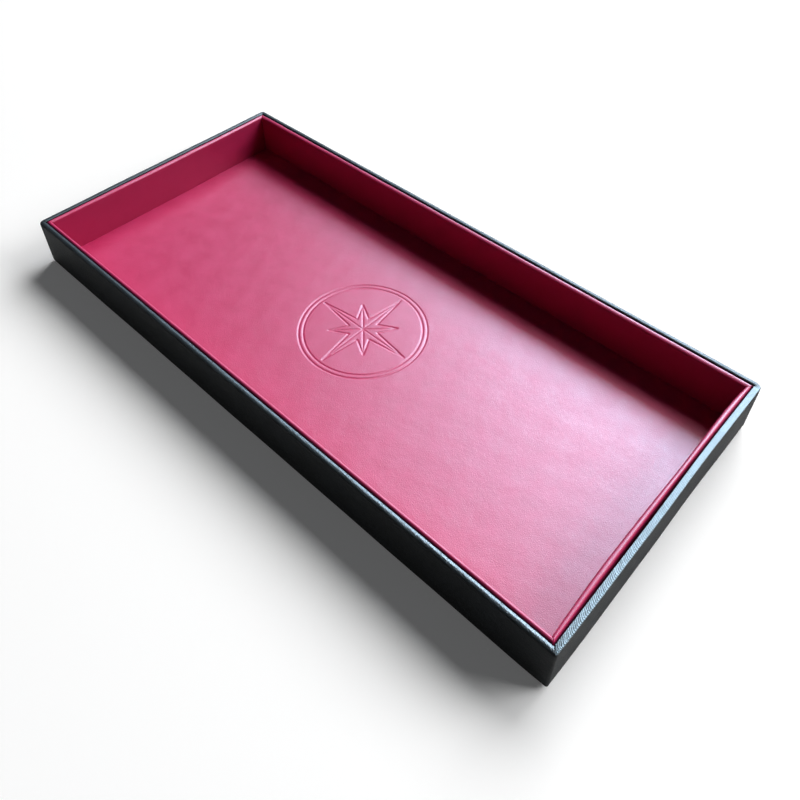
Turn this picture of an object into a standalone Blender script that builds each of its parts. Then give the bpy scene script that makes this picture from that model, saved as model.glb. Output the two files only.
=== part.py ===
"""A shallow board tray for rolling dice: greyboard walls on a greyboard base, wrapped outside in
black leatherette, with a red leatherette floor and four red covered card panels glued inside.

Metres, +Z up. The origin is the centre of the underside, +X runs along the length."""
import math

import bmesh
import bpy
from mathutils import Vector

# Overall size of the tray
tray_length = 0.270
tray_width = 0.126
tray_height = 0.0224

# Sheet and board thicknesses, and the glue line between two glued layers
board_thickness = 0.0010
card_thickness = 0.0008
wrap_thickness = 0.0003
lining_thickness = 0.0003
floor_skin_thickness = 0.0004
base_sheet_thickness = 0.0003
stay_thickness = 0.0002
glue_line = 0.0003

# The black wrap: how round it is at the corners and along the foot, and how far it is turned in
corner_radius = 0.0015
foot_radius = 0.0012
fold_radius = 0.0002
turn_in_depth = 0.0100
turn_under_width = 0.0120

# The sheet under the base
sheet_margin = 0.0045
sheet_corner_radius = 0.0020

# The gummed stays inside the corners
stay_leg = 0.0090

# The red lining panels. The short ones are sprung in slightly long, so that they belly inwards
panel_gap = 0.0004
panel_mitre_gap = 0.0003
panel_top_drop = 0.0002
panel_top_radius = 0.0009
panel_fold_depth = 0.0080
short_panel_belly = 0.0006
long_panel_belly = 0.0001

# How finely the rounded and bellied shapes are divided
corner_segments = 6
edge_segments = 4
panel_stations = 12
sharp_angle = 35

# The glued layers from the outside in: wrap, glue, board, glue, wrap turned in
board_inset = wrap_thickness + glue_line
board_inner_inset = board_inset + board_thickness
rim_width = board_inner_inset + glue_line + wrap_thickness
rim_radius = wrap_thickness + glue_line

# The glued layers from the table up: base sheet, wrap turned under, base board, floor skin
wrap_underside = base_sheet_thickness + glue_line
base_board_bottom = wrap_underside + wrap_thickness + glue_line
base_board_top = base_board_bottom + board_thickness
above_base_board = base_board_top + glue_line
floor_top = above_base_board + floor_skin_thickness
board_top = tray_height - wrap_thickness - glue_line

# A lining panel is a card between two leaves of lining
panel_inset = rim_width + panel_gap
lining_layer = lining_thickness + glue_line
panel_thickness = card_thickness + lining_layer + lining_layer
panel_bottom = floor_top + glue_line
panel_top = tray_height - panel_top_drop

half_length = tray_length / 2
half_width = tray_width / 2

COLOURS = {
    "black_leatherette": ((0.012, 0.013, 0.015), 0.42),
    "red_leatherette": ((0.42, 0.020, 0.085), 0.38),
    "greyboard": ((0.34, 0.31, 0.27), 0.90),
    "stay_paper": ((0.55, 0.47, 0.35), 0.85),
}


def clear_scene():
    for scene_object in list(bpy.context.scene.objects):
        bpy.data.objects.remove(scene_object, do_unlink=True)


def make_collection():
    collection = bpy.data.collections.new("dice_tray")
    bpy.context.scene.collection.children.link(collection)
    return collection


def make_material(part_name, finish):
    """A plain finish for one part, from the colour and roughness of its sheet."""
    colour, roughness = COLOURS[finish]
    material = bpy.data.materials.new(part_name + "_finish")
    material.use_nodes = True
    surface = material.node_tree.nodes["Principled BSDF"]
    surface.inputs["Base Color"].default_value = (*colour, 1.0)
    surface.inputs["Roughness"].default_value = roughness
    surface.inputs["Metallic"].default_value = 0.0
    material.diffuse_color = (*colour, 1.0)
    return material


def add_part(collection, part_name, bm, finish, location, turn=0.0):
    """One named object from the shape in bm, at its place, turned about the vertical."""
    mesh = bpy.data.meshes.new(part_name)
    bm.to_mesh(mesh)
    bm.free()
    mesh.shade_smooth()
    mesh.set_sharp_from_angle(angle=math.radians(sharp_angle))
    part = bpy.data.objects.new(part_name, mesh)
    part.location = location
    part.rotation_euler = (0.0, 0.0, turn)
    mesh.materials.append(make_material(part_name, finish))
    collection.objects.link(part)
    return part


def box(size, centre):
    """A cube primitive stretched to a size, about a centre."""
    bm = bmesh.new()
    bmesh.ops.create_cube(bm, size=1.0)
    bmesh.ops.scale(bm, vec=Vector(size), verts=bm.verts)
    bmesh.ops.translate(bm, vec=Vector(centre), verts=bm.verts)
    return bm


def ease_edges(bm, edges, radius, segments):
    bmesh.ops.bevel(
        bm, geom=edges, offset=radius, offset_type="OFFSET", segments=segments,
        profile=0.5, affect="EDGES", clamp_overlap=True,
    )


def edge_centre(edge):
    return (edge.verts[0].co + edge.verts[1].co) / 2


def runs_along(edge, axis):
    """Whether an edge runs along one axis only: 0 is X, 1 is Y, 2 is Z."""
    run = edge.verts[1].co - edge.verts[0].co
    return all(abs(run[other]) < glue_line for other in range(3) if other != axis)


def rounded_rectangle(inset, height, radius):
    """The loop of points round the tray at an inset from its outer faces, at one height."""
    points = []
    for corner in range(4):
        sign_x = 1 if corner in (0, 3) else -1
        sign_y = 1 if corner in (0, 1) else -1
        centre_x = sign_x * (half_length - inset - radius)
        centre_y = sign_y * (half_width - inset - radius)
        for step in range(corner_segments + 1):
            angle = math.pi / 2 * (corner + step / corner_segments)
            x = centre_x + radius * math.cos(angle)
            y = centre_y + radius * math.sin(angle)
            points.append((x, y, height))
    return points


def wrap_profile():
    """The outer surface of the wrap in section, as (inset, height), from under the base to inside."""
    profile = [(turn_under_width, wrap_underside)]
    for step in range(edge_segments + 1):
        angle = math.pi / 2 * step / edge_segments
        inset = foot_radius - foot_radius * math.sin(angle)
        profile.append((inset, wrap_underside + foot_radius - foot_radius * math.cos(angle)))
    for step in range(edge_segments + 1):
        angle = math.pi / 2 * step / edge_segments
        inset = rim_radius - rim_radius * math.cos(angle)
        profile.append((inset, tray_height - rim_radius + rim_radius * math.sin(angle)))
    for step in range(edge_segments + 1):
        angle = math.pi / 2 * step / edge_segments
        inset = rim_width - rim_radius + rim_radius * math.sin(angle)
        profile.append((inset, tray_height - rim_radius + rim_radius * math.cos(angle)))
    profile.append((rim_width, tray_height - turn_in_depth))
    return profile


def make_outer_wrap(collection):
    """The black strip round the walls: its section carried round the tray, then given its thickness."""
    bm = bmesh.new()
    loops = []
    for inset, height in wrap_profile():
        radius = max(corner_radius - inset, fold_radius)
        loops.append([bm.verts.new(point) for point in rounded_rectangle(inset, height, radius)])
    for lower, upper in zip(loops, loops[1:]):
        for index in range(len(lower)):
            after = (index + 1) % len(lower)
            bm.faces.new((lower[index], lower[after], upper[after], upper[index]))
    wrap = add_part(collection, "outer_wrap", bm, "black_leatherette", (0.0, 0.0, 0.0))
    thicken(wrap, wrap_thickness)
    return wrap


def thicken(part, thickness):
    """Gives an open surface its thickness, behind its face."""
    solidify = part.modifiers.new("thickness", "SOLIDIFY")
    solidify.thickness = thickness
    solidify.offset = -1.0
    solidify.use_even_offset = True


def make_base_board(collection):
    length = tray_length - 2 * board_inset
    width = tray_width - 2 * board_inset
    bm = box((length, width, board_thickness), (0.0, 0.0, 0.0))
    upright = [edge for edge in bm.edges if runs_along(edge, 2)]
    ease_edges(bm, upright, corner_radius - board_inset, corner_segments)
    low = [edge for edge in bm.edges if edge.verts[0].co.z < 0 and edge.verts[1].co.z < 0]
    ease_edges(bm, low, foot_radius - board_inset, edge_segments)
    height = base_board_bottom + board_thickness / 2
    return add_part(collection, "base_board", bm, "greyboard", (0.0, 0.0, height))


def make_wall_boards(collection):
    """The long walls run to the corners, with their outer corners eased; the short walls fit between."""
    wall_height = board_top - above_base_board
    middle = above_base_board + wall_height / 2
    long_wall = tray_length - 2 * board_inset
    short_wall = tray_width - 2 * (board_inner_inset + glue_line)
    for name, side in (("front", -1), ("back", 1)):
        bm = box((long_wall, board_thickness, wall_height), (0.0, 0.0, 0.0))
        outer = [
            edge for edge in bm.edges
            if runs_along(edge, 2) and edge_centre(edge).y * side > 0
        ]
        ease_edges(bm, outer, corner_radius - board_inset, corner_segments)
        y = side * (half_width - board_inset - board_thickness / 2)
        add_part(collection, "wall_board_" + name, bm, "greyboard", (0.0, y, middle))
    for name, side in (("left", -1), ("right", 1)):
        bm = box((board_thickness, short_wall, wall_height), (0.0, 0.0, 0.0))
        x = side * (half_length - board_inset - board_thickness / 2)
        add_part(collection, "wall_board_" + name, bm, "greyboard", (x, 0.0, middle))


def make_corner_stays(collection):
    """Gummed paper folded into each corner of the boards, below the edge of the wrap's turn-in."""
    stay_inset = board_inner_inset + glue_line
    stay_top = tray_height - turn_in_depth - glue_line
    stay_height = stay_top - above_base_board
    middle = above_base_board + stay_height / 2
    corners = (
        ("front_left", -1, -1), ("front_right", 1, -1), ("back_left", -1, 1), ("back_right", 1, 1),
    )
    for name, side_x, side_y in corners:
        bm = bmesh.new()
        reach = ((stay_leg, 0.0), (0.0, 0.0), (0.0, stay_leg))
        low = [bm.verts.new((-side_x * x, -side_y * y, -stay_height / 2)) for x, y in reach]
        high = [bm.verts.new((-side_x * x, -side_y * y, stay_height / 2)) for x, y in reach]
        faces = []
        for index in range(2):
            corner_face = (low[index], low[index + 1], high[index + 1], high[index])
            faces.append(bm.faces.new(corner_face if side_x * side_y > 0 else corner_face[::-1]))
        place = (side_x * (half_length - stay_inset), side_y * (half_width - stay_inset), middle)
        stay = add_part(collection, "corner_stay_" + name, bm, "stay_paper", place)
        thicken(stay, stay_thickness)


def make_base_sheet(collection):
    length = tray_length - 2 * sheet_margin
    width = tray_width - 2 * sheet_margin
    bm = box((length, width, base_sheet_thickness), (0.0, 0.0, 0.0))
    upright = [edge for edge in bm.edges if runs_along(edge, 2)]
    ease_edges(bm, upright, sheet_corner_radius, corner_segments)
    place = (0.0, 0.0, base_sheet_thickness / 2)
    return add_part(collection, "base_sheet", bm, "black_leatherette", place)


def make_floor_skin(collection):
    """The red floor runs under the panels, which hold its edges down."""
    length = tray_length - 2 * panel_inset
    width = tray_width - 2 * panel_inset
    bm = box((length, width, floor_skin_thickness), (0.0, 0.0, 0.0))
    place = (0.0, 0.0, above_base_board + floor_skin_thickness / 2)
    return add_part(collection, "floor_skin", bm, "red_leatherette", place)


def belly_and_mitre(bm, length, belly):
    """Cuts a panel into stations, bellies it towards +Y, most in the middle, and mitres its ends."""
    for station in range(1, panel_stations):
        x = length * (station / panel_stations - 0.5)
        geometry = list(bm.verts) + list(bm.edges) + list(bm.faces)
        bmesh.ops.bisect_plane(bm, geom=geometry, plane_co=(x, 0.0, 0.0), plane_no=(1.0, 0.0, 0.0))
    for vert in bm.verts:
        vert.co.y += belly * math.cos(math.pi * vert.co.x / length) ** 2
        vert.co.x *= 1 - 2 * vert.co.y / length


def panel_block(length, thickness, top_radius, height):
    """A panel on its bottom edge, its back face on the X axis, with rounded top edges."""
    bm = box((length, thickness, height), (0.0, thickness / 2, height / 2))
    top = [edge for edge in bm.edges if runs_along(edge, 0) and edge_centre(edge).z > height / 2]
    ease_edges(bm, top, top_radius, edge_segments)
    return bm


def fold_lining(bm, height, fold_depth):
    """Opens a panel block into the lining over it: no ends, no bottom, and a short fold behind."""
    fold_edge = height - fold_depth
    geometry = list(bm.verts) + list(bm.edges) + list(bm.faces)
    bmesh.ops.bisect_plane(
        bm, geom=geometry, plane_co=(0.0, 0.0, fold_edge), plane_no=(0.0, 0.0, 1.0)
    )
    bm.normal_update()
    open_faces = []
    for face in bm.faces:
        centre = face.calc_center_median()
        is_end = abs(face.normal.x) > abs(face.normal.y) and abs(face.normal.x) > abs(face.normal.z)
        is_behind = centre.z < fold_edge and centre.y < panel_thickness / 2
        is_bottom = abs(centre.z) < glue_line
        if is_end or is_behind or is_bottom:
            open_faces.append(face)
    bmesh.ops.delete(bm, geom=open_faces, context="FACES")
    bmesh.ops.solidify(bm, geom=list(bm.faces), thickness=lining_thickness)


def make_liner_panel(collection, name, length, belly, place, turn):
    """A card, and the red lining folded over its top edge and part of the way down its back."""
    panel_height = panel_top - panel_bottom
    card_radius = panel_top_radius - lining_layer
    card = panel_block(length, card_thickness, card_radius, panel_height - lining_layer)
    bmesh.ops.translate(card, vec=Vector((0.0, lining_layer, 0.0)), verts=card.verts)
    belly_and_mitre(card, length, belly)
    add_part(collection, "liner_card_" + name, card, "greyboard", place, turn)

    skin = panel_block(length, panel_thickness, panel_top_radius, panel_height)
    fold_lining(skin, panel_height, panel_fold_depth)
    belly_and_mitre(skin, length, belly)
    add_part(collection, "liner_skin_" + name, skin, "red_leatherette", place, turn)


def make_liner_panels(collection):
    """Each panel runs the whole inner length of its side, and they meet in mitres at the corners."""
    mitre_clearance = panel_mitre_gap * math.sqrt(2)
    long_panel = tray_length - 2 * panel_inset - mitre_clearance
    short_panel = tray_width - 2 * panel_inset - mitre_clearance
    x = half_length - panel_inset
    y = half_width - panel_inset
    front = (0.0, -y, panel_bottom)
    back = (0.0, y, panel_bottom)
    make_liner_panel(collection, "front", long_panel, long_panel_belly, front, 0.0)
    make_liner_panel(collection, "back", long_panel, long_panel_belly, back, math.pi)
    left = (-x, 0.0, panel_bottom)
    right = (x, 0.0, panel_bottom)
    make_liner_panel(collection, "left", short_panel, short_panel_belly, left, -math.pi / 2)
    make_liner_panel(collection, "right", short_panel, short_panel_belly, right, math.pi / 2)


def main():
    clear_scene()
    collection = make_collection()
    make_base_sheet(collection)
    make_base_board(collection)
    make_wall_boards(collection)
    make_corner_stays(collection)
    make_outer_wrap(collection)
    make_floor_skin(collection)
    make_liner_panels(collection)


main()
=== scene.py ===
import math

import bpy
import numpy as np
from mathutils import Matrix, Vector


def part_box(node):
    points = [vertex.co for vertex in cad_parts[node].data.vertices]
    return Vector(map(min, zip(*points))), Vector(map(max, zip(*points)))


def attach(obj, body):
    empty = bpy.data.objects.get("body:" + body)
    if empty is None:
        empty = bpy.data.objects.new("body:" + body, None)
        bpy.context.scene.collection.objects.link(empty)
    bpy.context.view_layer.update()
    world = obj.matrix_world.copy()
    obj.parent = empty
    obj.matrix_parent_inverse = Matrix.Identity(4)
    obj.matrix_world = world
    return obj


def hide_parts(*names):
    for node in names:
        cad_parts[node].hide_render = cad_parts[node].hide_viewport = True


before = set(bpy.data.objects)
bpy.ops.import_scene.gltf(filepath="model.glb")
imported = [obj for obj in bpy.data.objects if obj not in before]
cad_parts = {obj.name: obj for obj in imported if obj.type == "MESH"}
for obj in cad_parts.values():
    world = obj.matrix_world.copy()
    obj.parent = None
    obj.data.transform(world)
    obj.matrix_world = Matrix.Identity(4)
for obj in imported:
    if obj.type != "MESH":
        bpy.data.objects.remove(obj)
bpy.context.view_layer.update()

# The base board and the four wall boards: plain greyboard, sheared square, buff grey with flecks of
# the recycled fibre that it is pressed from. They are glued edge to edge into an open box.


class Reading:
    """A value read off a surface. Sums with it become nodes of the finish that it belongs to."""

    def __init__(self, finish, socket):
        self.finish = finish
        self.socket = socket

    def worked(self, operation, *terms):
        return self.finish.node("ShaderNodeMath", {"operation": operation}, dict(enumerate(terms)))

    def __add__(self, other):
        return self.worked("ADD", self, other)

    def __radd__(self, other):
        return self.worked("ADD", other, self)

    def __sub__(self, other):
        return self.worked("SUBTRACT", self, other)

    def __rsub__(self, other):
        return self.worked("SUBTRACT", other, self)

    def __mul__(self, other):
        return self.worked("MULTIPLY", self, other)

    def __rmul__(self, other):
        return self.worked("MULTIPLY", other, self)

    def rising(self, low, high):
        """0 below low, 1 above high, smooth in between. Falling where low is the greater."""
        settings = {"interpolation_type": "SMOOTHSTEP"}
        sockets = {"Value": self, "From Min": low, "From Max": high}
        return self.finish.node("ShaderNodeMapRange", settings, sockets)


class Finish:
    """A procedural finish. Even values are set on the shader's sockets, uneven ones are fed in."""

    def __init__(self, name, **even):
        self.material = bpy.data.materials.new(name)
        self.material.use_nodes = True
        self.shader = self.material.node_tree.nodes["Principled BSDF"]
        for socket, value in even.items():
            self.shader.inputs[socket.replace("_", " ")].default_value = value

    def node(self, kind, settings, sockets, output=0):
        node = self.material.node_tree.nodes.new(kind)
        for name, value in settings.items():
            setattr(node, name, value)
        for name, value in sockets.items():
            self.feed(node.inputs[name], value)
        return Reading(self, node.outputs[output])

    def feed(self, socket, value):
        if isinstance(value, Reading):
            self.material.node_tree.links.new(value.socket, socket)
        else:
            socket.default_value = value

    def place(self):
        """Where the surface is on the tray, in metres."""
        return self.node("ShaderNodeTexCoord", {}, {}, "Object")

    def laid(self, sheet):
        """Where the surface was on the flat sheet before it was folded on, in metres."""
        return self.node("ShaderNodeUVMap", {"uv_map": sheet}, {})

    def way(self, vector, axis):
        """One of a place's three distances."""
        return self.node("ShaderNodeSeparateXYZ", {}, {"Vector": vector}, axis)

    def drawn(self, vector, stretch):
        """The same place on a sheet that has been drawn out this many times each way."""
        shares = tuple(1 / times for times in stretch)
        return self.node("ShaderNodeVectorMath", {"operation": "MULTIPLY"}, {0: vector, 1: shares})

    def cloud(self, vector, size, detail=2.0):
        """Soft uneven patches of about this size in metres, round 0.5."""
        sockets = {"Vector": vector, "Scale": 1 / size, "Detail": detail}
        return self.node("ShaderNodeTexNoise", {}, sockets)

    def pebble(self, vector, size):
        """The raised pebbles of a pressed grain: 1 on top, 0 in the valleys between them."""
        sockets = {"Vector": vector, "Scale": 1 / size}
        settings = {"feature": "DISTANCE_TO_EDGE"}
        return self.node("ShaderNodeTexVoronoi", settings, sockets).rising(0.0, 0.32)

    def ribs(self, distance, spacing, rise):
        """Ribs pressed over to one side: up in this share of their spacing, down in the rest. 0 to 1."""
        turns = distance * (1 / spacing)
        part = self.node("ShaderNodeMath", {"operation": "FRACT"}, {0: turns})
        down = (1.0 - part) * (1 / (1 - rise))
        return self.node("ShaderNodeMath", {"operation": "MINIMUM"}, {0: part * (1 / rise), 1: down})

    def blend(self, share, first, second):
        """From the first colour to the second."""
        return self.node("ShaderNodeMix", {"data_type": "RGBA"}, {0: share, 6: first, 7: second}, 2)

    def relief(self, height, depth):
        """A fine relief from a height of 0 to 1 that is this many metres deep."""
        return self.node("ShaderNodeBump", {}, {"Height": height, "Distance": depth})


def screen(red, green, blue):
    """A colour as it is seen on a screen, 0 to 255, turned into the light that it stands for."""
    shares = [value / 255 for value in (red, green, blue)]
    light = [s / 12.92 if s <= 0.04045 else ((s + 0.055) / 1.055) ** 2.4 for s in shares]
    return (*light, 1.0)


def fibre_finish(name, dark, light, fleck_size):
    """Pressed fibre: cloudy, with flecks of this size drawn out along the board."""
    board = Finish(name, Roughness=0.9, Specular_IOR_Level=0.2)
    where = board.place()
    tone = board.cloud(where, 0.006)
    flecks = board.cloud(board.drawn(where, (3.0, 1.0, 1.0)), fleck_size, 1.0)
    board.feed(board.shader.inputs["Base Color"], board.blend(tone * 0.5 + flecks * 0.5, dark, light))
    board.feed(board.shader.inputs["Normal"], board.relief(flecks, 0.00003))
    return board


def dress(nodes, finish):
    """Gives built pieces their finish."""
    for name in nodes:
        piece = bpy.data.objects[name]
        piece.data.materials.clear()
        piece.data.materials.append(finish.material)


greyboard = fibre_finish("greyboard", screen(140, 132, 120), screen(178, 170, 156), 0.0006)
board_names = ["base_board"] + ["wall_board_" + wall for wall in ("back", "left", "front", "right")]
dress(board_names, greyboard)

# The corner stays: strips of brown gummed paper, wetted and stuck round the inside of each corner of
# the boards, which they hold together until the covering is on.
stay_paper = fibre_finish("stay_paper", screen(176, 150, 116), screen(206, 182, 148), 0.0008)
stay_corners = ("front_left", "front_right", "back_left", "back_right")
dress(["corner_stay_" + corner for corner in stay_corners], stay_paper)

# The covering outside: one strip of thin black leatherette with a fine pebble grain. It is glued
# round the board walls, folded over the rim and down the inside, and turned in under the base. It
# lies tight on the end walls, softer along the front, and is gathered in small pleats at the corners.


def waves(places, lengths, seed):
    """A gentle unevenness between 0 and 1 along a run, made of waves of these lengths."""
    draw = np.random.default_rng(seed)
    total = sum(np.sin(2 * math.pi * (places / length + draw.random())) for length in lengths)
    return 0.5 + 0.5 * total / len(lengths)


def ridge(distance, width):
    """1 on the middle line of a fold, falling smoothly to 0 at this distance from it."""
    return 0.5 + 0.5 * np.cos(math.pi * np.clip(np.abs(distance) / width, 0.0, 1.0))


def graded(run, finest, coarsest, growth):
    """Shares of a run, close together at both ends and wider apart in the middle."""
    steps = [0.0]
    while steps[-1] < run / 2:
        steps.append(steps[-1] + min(finest * growth ** (len(steps) - 1), coarsest))
    half = np.array(steps[:-1]) / run
    return np.concatenate([half, 1 - half[::-1]])


def add_sheet(name, points, flat, thickness, joined):
    """A sheet of this thickness through rows of points. flat tells where each was on the flat sheet.

    The points are its face side. joined closes each row into a ring."""
    rows, columns = points.shape[:2]
    steps = columns if joined else columns - 1
    first = np.arange(rows * columns).reshape(rows, columns)
    after = np.roll(first, -1, axis=1)
    sides = (first[:-1, :steps], after[:-1, :steps], after[1:, :steps], first[1:, :steps])
    faces = np.stack(sides, -1).reshape(-1, 4)
    mesh = bpy.data.meshes.new(name)
    mesh.from_pydata(points.reshape(-1, 3).tolist(), [], faces.tolist())
    flat_places = flat.reshape(-1, 2)[faces.reshape(-1)].reshape(-1)
    mesh.uv_layers.new(name="flat_sheet").data.foreach_set("uv", flat_places.astype(np.float32))
    mesh.shade_smooth()
    sheet = bpy.data.objects.new(name, mesh)
    bpy.context.scene.collection.objects.link(sheet)
    solid = sheet.modifiers.new("thickness", "SOLIDIFY")
    solid.thickness = thickness
    solid.offset = -1.0
    return sheet


wrap_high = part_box("outer_wrap")[1]
sheet_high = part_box("base_sheet")[1]
tray_half = np.array([wrap_high.x, wrap_high.y])
tray_top = wrap_high.z
wrap_bottom = sheet_high.z
wrap_thickness = 0.00015
turn_in_depth = 0.0100
turn_under_width = 0.0120
fold_round = 0.00015
rim_depth = 0.00045

# The rim along each wall: how far its outer round reaches in and down, how far it falls from there
# to the inside, its inner round, its width. How round each corner is from above and at its foot.
rim_shapes = {
    "right": (0.00022, 0.00025, 0.00000, 0.00025, 0.00240),
    "back": (0.00055, 0.00050, 0.00002, 0.00100, 0.00210),
    "left": (0.00120, 0.00070, 0.00005, 0.00050, 0.00240),
    "front": (0.00135, 0.00060, 0.00014, 0.00035, 0.00240),
}
corner_round = {"back_right": 0.0024, "back_left": 0.0014, "front_left": 0.0022, "front_right": 0.0009}
corner_foot_round = {"back_right": 0.0016, "back_left": 0.0014, "front_left": 0.0018, "front_right": 0.0021}
wall_foot_round = 0.0014
foot_fade = 0.012
# The closest and widest points along a wall, and how fast they spread out from a corner
wrap_steps = (0.00025, 0.0015, 1.12)
corner_signs = {"back_right": (1, 1), "back_left": (-1, 1), "front_left": (-1, -1), "front_right": (1, -1)}
corner_walls = {
    "back_right": ("right", "back"),
    "back_left": ("back", "left"),
    "front_left": ("left", "front"),
    "front_right": ("front", "right"),
}


def wrap_section(rim_shape, foot_round):
    """The strip's outer face in section: how far in from the wall's face, how high, and its way out."""
    outer_in, outer_down, inward_fall, inner_round, rim_width = rim_shape
    rows = [(turn_under_width, wrap_bottom, 0.0, -1.0), (turn_under_width / 2, wrap_bottom, 0.0, -1.0)]
    for turn in np.linspace(0.0, math.pi / 2, 7):
        inset = foot_round * (1 - math.sin(turn))
        height = wrap_bottom + foot_round * (1 - math.cos(turn))
        rows.append((inset, height, math.sin(turn), -math.cos(turn)))
    wall_foot = wrap_bottom + foot_round
    wall_top = tray_top - outer_down
    for share in np.linspace(0.0, 1.0, 14)[1:-1]:
        rows.append((0.0, wall_foot + (wall_top - wall_foot) * share, 1.0, 0.0))
    for turn in np.linspace(0.0, math.pi / 2, 11):
        inset = outer_in * (1 - math.cos(turn))
        rows.append((inset, wall_top + outer_down * math.sin(turn), math.cos(turn), math.sin(turn)))
    for share in np.linspace(0.0, 1.0, 8)[1:-1]:
        inset = outer_in + (rim_width - inner_round - outer_in) * share
        rows.append((inset, tray_top - inward_fall * share ** 2, 0.0, 1.0))
    for turn in np.linspace(0.0, math.pi / 2, 9):
        inset = rim_width - inner_round * (1 - math.sin(turn))
        height = tray_top - inward_fall - inner_round * (1 - math.cos(turn))
        rows.append((inset, height, -math.sin(turn), math.cos(turn)))
    for depth in np.linspace(inward_fall + inner_round, turn_in_depth, 5)[1:]:
        rows.append((rim_width, tray_top - depth, -1.0, 0.0))
    return np.array(rows)


def corner_places(corner, way, insets):
    """The places at a corner, one for each distance in from the walls' faces, that lie this way out."""
    signs = np.array(corner_signs[corner])
    radius = corner_round[corner]
    centre = signs * (tray_half - radius)
    pulled_in = np.maximum(insets - radius + fold_round, 0.0)[:, None]
    left_over = np.maximum(radius - insets, fold_round)[:, None]
    return centre - signs * pulled_in + left_over * way


corner_names = list(corner_signs)
rings = []
for number, corner in enumerate(corner_names):
    for share in np.linspace(0.0, 1.0, 25):
        turn = math.pi / 2 * (number + share)
        rings.append((corner, corner, share, np.array([math.cos(turn), math.sin(turn)])))
    following = corner_names[(number + 1) % 4]
    wall_run = 2 * tray_half[0 if corner_walls[corner][1] in ("back", "front") else 1]
    for share in graded(wall_run, *wrap_steps)[1:-1]:
        rings.append((corner, following, share, rings[-1][3]))

rows = len(wrap_section(rim_shapes["front"], wall_foot_round))
sections = np.zeros((rows, len(rings), 4))
for column, (corner, following, share, way) in enumerate(rings):
    wall_before, wall_after = corner_walls[corner]
    bend = share if corner == following else 1.0
    rim_shape = np.array(rim_shapes[wall_before]) * (1 - bend) + np.array(rim_shapes[wall_after]) * bend
    wall_run = 0.0 if corner == following else 2 * tray_half[0 if wall_after in ("back", "front") else 1]
    foot = wall_foot_round
    for end, distance in ((corner, share * wall_run), (following, (1 - share) * wall_run)):
        fade = max(1 - distance / foot_fade, 0.0) ** 2
        foot = max(foot, wall_foot_round + (corner_foot_round[end] - wall_foot_round) * fade)
    sections[:, column] = wrap_section(rim_shape, foot)

outline = np.array([
    corner_places(corner, way, np.zeros(1))[0] * (1 - share * (corner != following))
    + corner_places(following, way, np.zeros(1))[0] * share * (corner != following)
    for corner, following, share, way in rings
])
run = np.concatenate([[0.0], np.cumsum(np.linalg.norm(np.diff(outline, axis=0), axis=1))])
steps = np.diff(sections[:, :, :2], axis=0)
across = np.concatenate([np.zeros((1, len(rings))), np.cumsum(np.linalg.norm(steps, axis=2), axis=0)])

# Where the board behind is uneven or the strip is pulled over it: how far the face lies in
rim_unevenness = 0.00008
rim_wave_lengths = (0.061, 0.037, 0.0173)
rim_reach = 0.0030
wall_unevenness = 0.00015
wall_wave_lengths = (0.19, 0.083, 0.041)
corner_middles = {
    name: np.mean([run[i] for i, ring in enumerate(rings) if ring[0] == ring[1] == name])
    for name in corner_names
}
rim_across = np.where(sections[:, :, 1] > tray_top - rim_depth, across, np.nan)
rim_from = np.nanmin(rim_across, axis=0)
rim_to = np.nanmax(rim_across, axis=0)
rim_middle = (rim_from + rim_to) / 2
on_rim = ridge(across - rim_middle, rim_reach)
on_wall = np.clip(sections[:, :, 2], 0.0, 1.0)
dent = rim_unevenness * on_rim * waves(run, rim_wave_lengths, 3)
dent += wall_unevenness * on_wall * waves(run, wall_wave_lengths, 4)

# The small pleats: run from the corner's middle, lean, width and height, for each corner. The strip
# is drawn down round them, at least as far as they rise again.
pleat_dip = 0.00018
pleats_along = 0.0030
pleats_across = 0.0022
pleats_inward = 0.0001
pleats = {
    "back_right": ((-0.0008, 0.10, 0.0006, 0.00007), (0.0005, -0.15, 0.0005, 0.00006)),
    "back_left": ((-0.0004, 0.20, 0.0004, 0.00008), (0.0006, -0.10, 0.0004, 0.00006)),
    "front_left": ((-0.0006, 0.15, 0.0005, 0.00009), (0.0004, -0.20, 0.0005, 0.00007)),
    "front_right": ((-0.0011, 0.30, 0.00040, 0.00018), (-0.0002, 0.16, 0.00036, 0.00017)),
}
for corner, folds in pleats.items():
    near = ridge(run - corner_middles[corner], pleats_along)
    near = near * ridge(across - rim_middle - pleats_inward, pleats_across)
    raised = np.zeros_like(dent)
    for offset, lean, width, height in folds:
        line = run[None, :] - corner_middles[corner] - offset - lean * (across - rim_middle)
        raised = np.maximum(raised, height * ridge(line, width))
    dent += near * (pleat_dip - raised)

# The right wall leans in a little over part of its run, this far along from the near corner
lean_depth = 0.00030
lean_from_corner = 0.088
lean_reach = 0.042
near_corner = corner_middles["front_right"]
lean_in = lean_depth * ridge(run - near_corner - lean_from_corner, lean_reach)
sections[:, :, 0] += sections[:, :, 2] * dent + lean_in
sections[:, :, 1] -= sections[:, :, 3] * dent
points = np.zeros((rows, len(rings), 3))
for column, (corner, following, share, way) in enumerate(rings):
    insets = sections[:, column, 0]
    places = corner_places(corner, way, insets)
    if corner != following:
        places = places * (1 - share) + corner_places(following, way, insets) * share
    points[:, column, :2] = places
points[:, :, 2] = sections[:, :, 1]
flat = np.stack([np.broadcast_to(run, across.shape), across], -1)
wrap = add_sheet("black_wrap", points, flat, wrap_thickness, joined=True)

pebble_size = 0.0006
patch_size = 0.011
fine_grain_size = 0.00040
black_relief_depth = 0.00004
rib_spacing = 0.00082
rib_slant = 0.05
rib_margin = 0.00025
rib_fade = 0.00030
rib_from = rim_from[run > near_corner].mean() + rib_margin
crease_size = 0.00070
crease_wander = 0.00050
# Where the strip is drawn tight, from the near corner on: all there, and faded out again
tight_fade_in = 0.002
tight_run = 0.010
tight_end = 0.125


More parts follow.
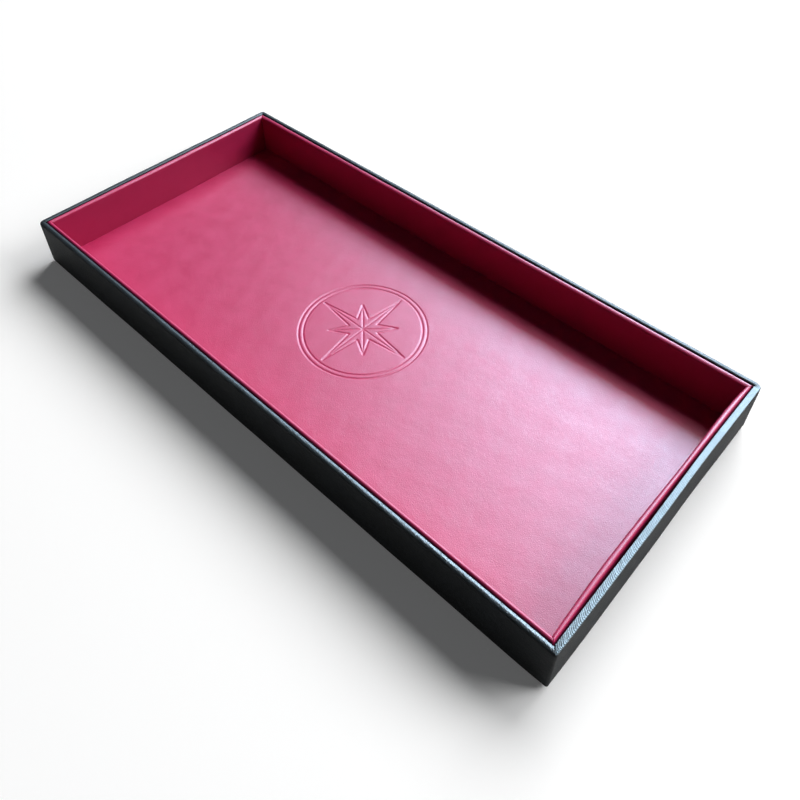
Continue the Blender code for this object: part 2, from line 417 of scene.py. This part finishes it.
def black_finish(name, gloss_level, gloss_tint, roughness, lump_size, lumps, grain, ribs):
    """Black pebbled leatherette, over soft lumps. Where it is drawn tight it has fine slanted ribs."""
    black = Finish(name, Specular_IOR_Level=gloss_level, Specular_Tint=(*gloss_tint, 1.0))
    strip = black.laid("flat_sheet")
    along = black.way(strip, 0)
    patches = black.cloud(strip, patch_size)
    shades = (screen(8, 10, 12), screen(15, 18, 21))
    black.feed(black.shader.inputs["Base Color"], black.blend(patches.rising(0.35, 0.7), *shades))
    relief = black.pebble(strip, pebble_size) * 0.6 + black.cloud(strip, fine_grain_size, 1.0) * grain
    relief = relief + black.cloud(strip, lump_size, 1.0) * lumps
    toward_near = along.rising(corner_middles["front_left"], near_corner)
    sheen = roughness[0] + toward_near * (roughness[1] - roughness[0]) + 0.10 * patches
    if ribs:
        creases = black.cloud(black.drawn(strip, (1.0, 10.0, 1.0)), crease_size, 0.0)
        slanted = along - black.way(strip, 1) * rib_slant + creases * crease_wander
        drawn_tight = along.rising(near_corner - tight_fade_in, near_corner)
        drawn_tight = drawn_tight * along.rising(near_corner + tight_end, near_corner + tight_run)
        drawn_tight = drawn_tight * black.way(strip, 1).rising(rib_from, rib_from + rib_fade)
        rib = black.ribs(slanted, rib_spacing, 0.35) * drawn_tight
        relief = relief + creases * 0.8 + rib * ribs
        sheen = sheen - rib * 0.10
    black.feed(black.shader.inputs["Roughness"], sheen)
    black.feed(black.shader.inputs["Normal"], black.relief(relief, black_relief_depth))
    return black.material


# On the walls, on the rim and where it is drawn tight: gloss and its tint, roughness at the far and
# the near end, size and height of the lumps, height of the grain and of the ribs
black_sheets = (
    ("black_leatherette", 0.14, (0.90, 0.98, 1.0), (0.58, 0.58), 0.0018, 1.6, 0.9, 0),
    ("black_leatherette_rim", 0.55, (1.0, 1.0, 0.94), (0.45, 0.30), 0.0009, 1.3, 1.5, 0),
    ("black_leatherette_tight", 0.72, (0.94, 1.0, 0.96), (0.43, 0.43), 0.0011, 0.4, 0.9, 1.6),
)
for black_sheet in black_sheets:
    wrap.data.materials.append(black_finish(*black_sheet))
heights = points[:, :, 2]
face_heights = (heights[:-1] + heights[1:]) / 2
face_heights = (face_heights + np.roll(face_heights, -1, axis=1)) / 2
rim_faces = face_heights > tray_top - rim_depth
right_faces = (run > near_corner) | (run < corner_middles["back_right"])
material_indices = np.where(rim_faces, 1 + right_faces[None, :], 0).astype(np.int32)
wrap.data.polygons.foreach_set("material_index", material_indices.reshape(-1))
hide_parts("outer_wrap")
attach(wrap, "root")

# The sheet under the tray: thin black paper-backed lining with a dull, very fine grain, cut with
# rounded corners and glued over the turned-in edges of the strip. The tray stands on it.
under = Finish("base_sheet_lining", Roughness=0.75, Specular_IOR_Level=0.3)
under_place = under.place()
under_patches = under.cloud(under_place, 0.009)
under_colour = under.blend(under_patches, screen(25, 26, 28), screen(33, 34, 36))
under.feed(under.shader.inputs["Base Color"], under_colour)
under.feed(under.shader.inputs["Normal"], under.relief(under.cloud(under_place, 0.0004, 1.0), 0.00002))
dress(["base_sheet"], under)

# The floor: a sheet of raspberry leatherette, glued down on the base board. A compass star in a
# double ring has been pressed into its middle with a hot die, which leaves smooth sunk lines.
floor_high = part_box("floor_skin")[1]
ring_radii = (0.0262, 0.0243)
line_width = 0.00095
line_depth = 0.00024
line_steepness = 1.4
long_point = 0.0226
short_point = 0.0140
notch_reach = 0.0062
spine_width_share = 0.4
spine_depth_share = 0.8
# The sheet lies flat along its edges, under the panels, and is softly uneven from there on
floor_thickness = 0.00025
floor_unevenness = 0.00006
flat_edge = 0.003
flat_edge_fade = 0.008


def line_distance(places, start, end):
    """How far places lie from a straight line between two points."""
    start = np.array(start)
    span = np.array(end) - start
    share = np.clip(((places - start) @ span) / (span @ span), 0.0, 1.0)
    return np.linalg.norm(places - start - share[..., None] * span, axis=-1)


def floor_axis(half, motif_half, fine, coarse):
    """Grid lines across the floor: close together over the motif, wider apart beyond it."""
    inner = np.arange(-motif_half, motif_half + fine / 2, fine)
    beyond = np.linspace(motif_half, half, int((half - motif_half) / coarse) + 1)[1:]
    return np.concatenate([-beyond[::-1], inner, beyond])


floor_half = np.array([floor_high.x, floor_high.y])
motif_half = 0.0285
motif_step = 0.00030
open_step = 0.0014
grid_x, grid_y = np.meshgrid(
    floor_axis(floor_half[0], motif_half, motif_step, open_step),
    floor_axis(floor_half[1], motif_half, motif_step, open_step),
)
places = np.stack([grid_x, grid_y], -1)
sunk = np.zeros_like(grid_x)
for radius in ring_radii:
    sunk = np.maximum(sunk, ridge(np.linalg.norm(places, axis=-1) - radius, line_width / 2))
for point in range(8):
    turn = math.pi / 4 * point
    reach = long_point if point % 2 == 0 else short_point
    tip = (reach * math.cos(turn), reach * math.sin(turn))
    for side in (-1, 1):
        notch = turn + side * math.pi / 8
        notch_place = (notch_reach * math.cos(notch), notch_reach * math.sin(notch))
        sunk = np.maximum(sunk, ridge(line_distance(places, tip, notch_place), line_width / 2))
    spine = ridge(line_distance(places, (0.0, 0.0), tip), line_width * spine_width_share)
    sunk = np.maximum(sunk, spine * spine_depth_share)
uneven = floor_unevenness * waves(grid_x + 0.4 * grid_y, (0.071, 0.033, 0.0137), 11)
uneven += floor_unevenness * waves(grid_y - 0.3 * grid_x, (0.059, 0.027, 0.0113), 12)
to_edge = np.minimum(floor_half[0] - np.abs(grid_x), floor_half[1] - np.abs(grid_y))
uneven *= np.clip((to_edge - flat_edge) / flat_edge_fade, 0.0, 1.0)
heights = floor_high.z + uneven - line_depth * np.clip(sunk * line_steepness, 0.0, 1.0)
floor_points = np.stack([grid_x, grid_y, heights], -1)
floor = add_sheet("red_floor", floor_points, places, floor_thickness, joined=False)
red_patch_size = 0.008
red_fine_grain_size = 0.00030
red_dimple_size = 0.0035
red_relief_depth = 0.00003


def red_finish(name, sheet_grain, mottle, gloss, colours_at):
    """Raspberry leatherette with a fine grain, a little cloudy, satin."""
    red = Finish(name, Specular_IOR_Level=0.5)
    laid_place = red.laid("flat_sheet")
    patches = red.cloud(laid_place, red_patch_size)
    shade = patches * mottle + (0.5 - 0.5 * mottle)
    colour = colours_at(red, shade)
    red.feed(red.shader.inputs["Base Color"], colour)
    red.feed(red.shader.inputs["Roughness"], gloss + 0.10 * patches)
    fine_grain = red.cloud(laid_place, red_fine_grain_size, 1.0)
    grain = red.pebble(laid_place, sheet_grain) * 0.6 + fine_grain * 1.1
    dimples = red.cloud(laid_place, red_dimple_size, 1.0) * 1.5
    red.feed(red.shader.inputs["Normal"], red.relief(grain + dimples, red_relief_depth))
    return red


def raspberry(red, shade):
    """The sheet's own colour, from its deeper to its paler patches."""
    return red.blend(shade, (0.50, 0.012, 0.088, 1.0), (0.60, 0.022, 0.130, 1.0))


red_floor = red_finish("red_floor_leatherette", 0.00055, 1.0, 0.42, raspberry)
floor.data.materials.append(red_floor.material)
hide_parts("floor_skin")
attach(floor, "root")

# The four lining panels: thin greyboard cards, covered with the same raspberry leatherette, which is rolled
# softly over their top edges and down behind; their upright faces are coloured darker, as painted shade.
# They stand inside the black rim, mitred at the corners, pushed in by hand, so they are a little bowed and
# leave an uneven dark gap.
panel_order = ["back", "left", "front", "right"]
panel_ways = {"back": (0, 1), "left": (-1, 0), "front": (0, -1), "right": (1, 0)}
liner_board = fibre_finish("liner_card", screen(148, 140, 128), screen(184, 176, 162), 0.0005)
dress(["liner_card_" + wall for wall in panel_order], liner_board)

skin_thickness = 0.00025
skin_insets = {"back": 0.00222, "left": 0.00260, "front": 0.00260, "right": 0.00260}
face_inset = 0.00430
panel_rounds = {"back": 0.00100, "left": 0.00080, "front": 0.00080, "right": 0.00080}
back_falls = {"back": 0.00150, "left": 0.00150, "front": 0.00150, "right": 0.00240}
panel_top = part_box("liner_skin_front")[1].z
behind_depth = 0.0080
mitre_gap = 0.00005
edge_step = 0.00004
panel_steps = (0.0004, 0.0020, 1.25)
panel_settling = 0.00010
settling_wave_lengths = (0.047, 0.021)
panel_foot = floor_high.z + 0.00002

# How far each whole panel is bowed in, how evenly that is spread, and how far its face then stands
# in, at shares of its length
panel_bow = {"back": 0.00005, "left": 0.00006, "front": 0.00010, "right": 0.00060}
bow_spread = {"back": 2.0, "left": 2.0, "front": 2.0, "right": 0.9}
panel_bows = {
    "back": ((0.0, 0.5, 1.0), (0.00003, 0.00003, 0.00003)),
    "left": ((0.0, 0.2, 0.5, 0.8, 1.0), (0.00003, 0.00035, 0.00055, 0.00035, 0.00003)),
    "front": ((0.0, 0.5, 1.0), (0.00003, 0.00008, 0.00003)),
    "right": (
        (0.0, 0.12, 0.22, 0.40, 0.60, 0.75, 0.86, 0.92, 0.97, 1.0),
        (0.00003, 0.00050, 0.00068, 0.00045, 0.00015, 0.00035, 0.00065, 0.00065, 0.00025, 0.00003),
    ),
}
bow_smoothing = 9

# Where each panel's crest is, as a share of the way from its face to its back
panel_crests = {"back": 0.74, "left": 0.68, "front": 0.40, "right": 0.54}


def panel_section(skin_inset, crest_share, panel_round, back_fall):
    """The skin's face in section, from the floor up the front, over the top and down behind."""
    rows = []
    for height in [panel_foot, *np.linspace(panel_foot + edge_step, panel_top - panel_round, 12)[:-1]]:
        rows.append((face_inset, height))
    crest = face_inset - crest_share * (face_inset - skin_inset)
    for turn in np.linspace(0.0, math.pi / 2, 9):
        inset = crest + (face_inset - crest) * math.cos(turn)
        rows.append((inset, panel_top - panel_round * (1 - math.sin(turn))))
    for turn in np.linspace(math.pi / 2, math.pi, 11)[1:]:
        inset = crest + (crest - skin_inset) * math.cos(turn)
        rows.append((inset, panel_top - back_fall * (1 - math.sin(turn))))
    for depth in np.linspace(back_fall, behind_depth, 5)[1:]:
        rows.append((skin_inset, panel_top - depth))
    return np.array(rows)


# Painted shade on the panels: their upright faces are coloured darker up to the first height below the top
# edge, fading to the sheet's own colour by the second
painted_shade_fades_from = 0.0011
painted_shade_gone_at = 0.0003


def raspberry_with_painted_shade(red, shade):
    """Painted shade: darker on the upright faces, and the sheet's own colour over the panel's top edge."""
    painted_shade_upright = red.blend(shade, (0.34, 0.008, 0.059, 1.0), (0.41, 0.014, 0.087, 1.0))
    height = red.way(red.place(), 2)
    unshaded_top = height.rising(panel_top - painted_shade_fades_from, panel_top - painted_shade_gone_at)
    return red.blend(unshaded_top, painted_shade_upright, raspberry(red, shade))


# The lining's colour carries painted shade: darker on the upright faces than over the top edges
red_lining = red_finish("red_leatherette", 0.00050, 0.7, 0.40, raspberry_with_painted_shade)
for number, wall in enumerate(panel_order):
    skin_inset = skin_insets[wall]
    section = panel_section(skin_inset, panel_crests[wall], panel_rounds[wall], back_falls[wall])
    section_run = np.concatenate([[0.0], np.cumsum(np.linalg.norm(np.diff(section, axis=0), axis=1))])
    way = np.array(panel_ways[wall])
    along_way = np.array([-way[1], way[0]])
    face_half = tray_half[0] if way[0] else tray_half[1]
    run_half = tray_half[1] if way[0] else tray_half[0]
    shares = graded(2 * run_half, *panel_steps)
    bow_shares, bows = panel_bows[wall]
    bow = np.interp(shares, bow_shares, bows)
    inside = slice(bow_smoothing // 2, -(bow_smoothing // 2))
    bow[inside] = np.convolve(bow, np.ones(bow_smoothing) / bow_smoothing, mode="same")[inside]
    even_bow = panel_bow[wall] * np.abs(np.sin(math.pi * shares)) ** bow_spread[wall]
    before = panel_bows[panel_order[number - 1]][1][-1]
    after = panel_bows[panel_order[(number + 1) % 4]][1][0]
    faces_in = (section[:, :1] - skin_inset) / (face_inset - skin_inset)
    start = -run_half + section[:, :1] + before * faces_in + mitre_gap
    end = run_half - section[:, :1] - after * faces_in - mitre_gap
    reach = start + (end - start) * shares[None, :]
    settle = panel_settling * waves(shares * 2 * run_half, settling_wave_lengths, 20 + number)
    out = face_half - section[:, :1] - even_bow[None, :] - bow[None, :] * faces_in
    skin_points = np.zeros((len(section), len(shares), 3))
    skin_points[:, :, :2] = out[..., None] * way + reach[..., None] * along_way
    lowered = settle[None, :] * (section[:, 1:] - panel_foot) / (panel_top - panel_foot)
    skin_points[:, :, 2] = section[:, 1:] - lowered
    skin_flat = np.stack([reach + number, np.broadcast_to(section_run[:, None], reach.shape)], -1)
    skin = add_sheet("red_lining_" + wall, skin_points[::-1], skin_flat[::-1], skin_thickness, joined=False)
    skin.data.materials.append(red_lining.material)
    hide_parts("liner_skin_" + wall)
    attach(skin, "root")

# The stage: a plain white table, a soft lamp behind the tray and another to its right, the bluish
# sheen of a window, a weak sky, and the camera, which looks down over the near right corner.
table_size = 8.0
table_drop = 0.00002
table_glow = 0.08
lamp_distance = 3.0
bpy.ops.mesh.primitive_plane_add(size=table_size, location=(0.0, 0.0, -table_drop))
table = bpy.context.object
table.name = "table_top"
white = Finish(
    "table_white", Base_Color=(0.96, 0.96, 0.96, 1.0), Roughness=0.9, Specular_IOR_Level=0.0,
    Emission_Strength=1.0)
looks = ("Is Camera Ray", "Is Glossy Ray", "Is Transmission Ray")
looked_at = sum(white.node("ShaderNodeLightPath", {}, {}, look) for look in looks)
white.feed(white.shader.inputs["Emission Color"], looked_at * table_glow)
table.data.materials.append(white.material)


def add_lamp(name, way, distance, width, height, watts, colour):
    """A soft lamp this way from the tray, facing it."""
    lamp = bpy.data.lights.new(name, "AREA")
    lamp.shape = "ELLIPSE"
    lamp.size = width
    lamp.size_y = height
    lamp.energy = watts
    lamp.color = colour
    holder = bpy.data.objects.new(name, lamp)
    holder.location = Vector(way).normalized() * distance
    holder.rotation_euler = Vector(way).to_track_quat("Z", "Y").to_euler()
    bpy.context.scene.collection.objects.link(holder)
    return holder


add_lamp("key", (-0.08, 0.71, 0.70), lamp_distance, 2.2, 2.1, 88.0, (1.0, 1.0, 1.0))
add_lamp("key_right", (0.58, 0.60, 0.56), lamp_distance, 1.8, 2.0, 66.0, (1.0, 1.0, 1.0))
window = add_lamp(
    "window_sheen", (-0.11, 0.72, 0.67), lamp_distance, 2.2, 1.0, 350.0, (0.48, 0.72, 1.0))
window.visible_diffuse = False

sky = bpy.data.worlds.new("sky")
sky.use_nodes = True
sky.node_tree.nodes["Background"].inputs["Color"].default_value = (0.85, 0.93, 1.0, 1.0)
sky.node_tree.nodes["Background"].inputs["Strength"].default_value = 0.025
bpy.context.scene.world = sky

camera_data = bpy.data.cameras.new("camera")
camera_data.sensor_width = 36.0
camera_data.lens = 35.77
camera_data.shift_y = -0.155
camera_data.clip_start = 0.01
camera_data.clip_end = 20.0
camera = bpy.data.objects.new("camera", camera_data)
camera.location = (0.1633, -0.1544, 0.2374)
looking = Vector((-0.5010, 0.5418, -0.6749)).normalized()
roll = Matrix.Rotation(math.radians(-0.08), 3, looking)
camera.rotation_euler = (roll @ looking.to_track_quat("-Z", "Y").to_matrix()).to_euler()
bpy.context.scene.collection.objects.link(camera)
bpy.context.scene.camera = camera
bpy.context.scene.view_settings.view_transform = "Standard"
